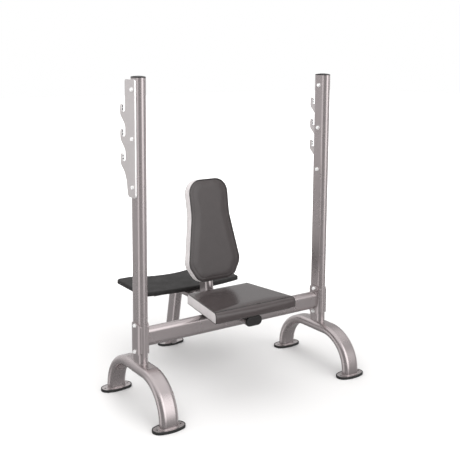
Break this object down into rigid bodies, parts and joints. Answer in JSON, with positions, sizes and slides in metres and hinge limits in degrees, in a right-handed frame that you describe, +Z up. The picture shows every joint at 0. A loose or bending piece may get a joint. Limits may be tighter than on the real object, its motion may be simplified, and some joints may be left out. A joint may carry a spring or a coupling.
{
  "type": "seated shoulder press bench",
  "caption": "Seated press bench: two racked uprights on arched legs, joined by a crossbeam, with a fixed seat, a waisted back pad and a curved spotter step behind.",
  "frame": {"origin": "on the floor, at the middle of the footprint's bounding box", "axes": "+Z up, X from the left upright to the right one, +Y from the sitter's front towards the spotter's step"},
  "size_m": [1.356, 1.097, 1.6795],
  "materials": {
    "frame_paint": "silver-grey metallic powder coat",
    "plate_paint": "silver-grey metallic powder coat",
    "hook_paint": "lighter silver-grey metallic powder coat",
    "foot_rubber": "matt black moulded rubber",
    "cap_plastic": "semi-gloss black moulded plastic",
    "liner_plastic": "white wear plastic",
    "black_steel": "black oxide",
    "zinc_steel": "bright zinc plate",
    "dark_vinyl": "semi-gloss charcoal upholstery vinyl",
    "light_vinyl": "light grey textured upholstery vinyl",
    "plywood": "black-stained plywood",
    "black_bracket": "black powder coat",
    "step_rubber": "dark grey textured rubber"
  },
  "bodies": {
    "root": {"back_bar_lower": "black_bracket", "back_bar_upper": "black_bracket", "back_board": "plywood", "back_bolts": "zinc_steel", "back_cushion": "dark_vinyl", "back_post": "frame_paint", "back_post_cap": "cap_plastic", "back_side_band": "light_vinyl", "crossbeam": "frame_paint", "foot_plate_front_left": "plate_paint", "foot_plate_front_right": "plate_paint", "foot_plate_rear_left": "plate_paint", "foot_plate_rear_leg": "plate_paint", "foot_plate_rear_right": "plate_paint", "hook_plate_bolts": "zinc_steel", "hook_plate_left": "hook_paint", "hook_plate_nuts": "zinc_steel", "hook_plate_right": "hook_paint", "hook_plate_washers": "zinc_steel", "inner_saddle_left": "frame_paint", "inner_saddle_right": "frame_paint", "leg_arch_left": "frame_paint", "leg_arch_right": "frame_paint", "liner_screws": "black_steel", "outer_saddle_left": "frame_paint", "outer_saddle_right": "frame_paint", "rear_leg": "frame_paint", "rubber_foot_front_left": "foot_rubber", "rubber_foot_front_right": "foot_rubber", "rubber_foot_rear_left": "foot_rubber", "rubber_foot_rear_leg": "foot_rubber", "rubber_foot_rear_right": "foot_rubber", "saddle_bolts": "zinc_steel", "saddle_nuts": "zinc_steel", "saddle_washers": "zinc_steel", "seat_bar_front": "black_bracket", "seat_bar_rear": "black_bracket", "seat_board": "plywood", "seat_bolts": "zinc_steel", "seat_cushion": "dark_vinyl", "seat_side_panel_left": "light_vinyl", "seat_side_panel_right": "light_vinyl", "seat_tee_nuts": "zinc_steel", "slot_liners_left": "liner_plastic", "slot_liners_right": "liner_plastic", "spine_cap_front": "cap_plastic", "spine_cap_rear": "cap_plastic", "spine_front": "frame_paint", "spine_rear": "frame_paint", "step_arms_front": "black_bracket", "step_arms_rear": "black_bracket", "step_board": "plywood", "step_bolts": "zinc_steel", "step_mat": "step_rubber", "upright_cap_left": "cap_plastic", "upright_cap_right": "cap_plastic", "upright_left": "frame_paint", "upright_right": "frame_paint"}
  },
  "joints": []
}
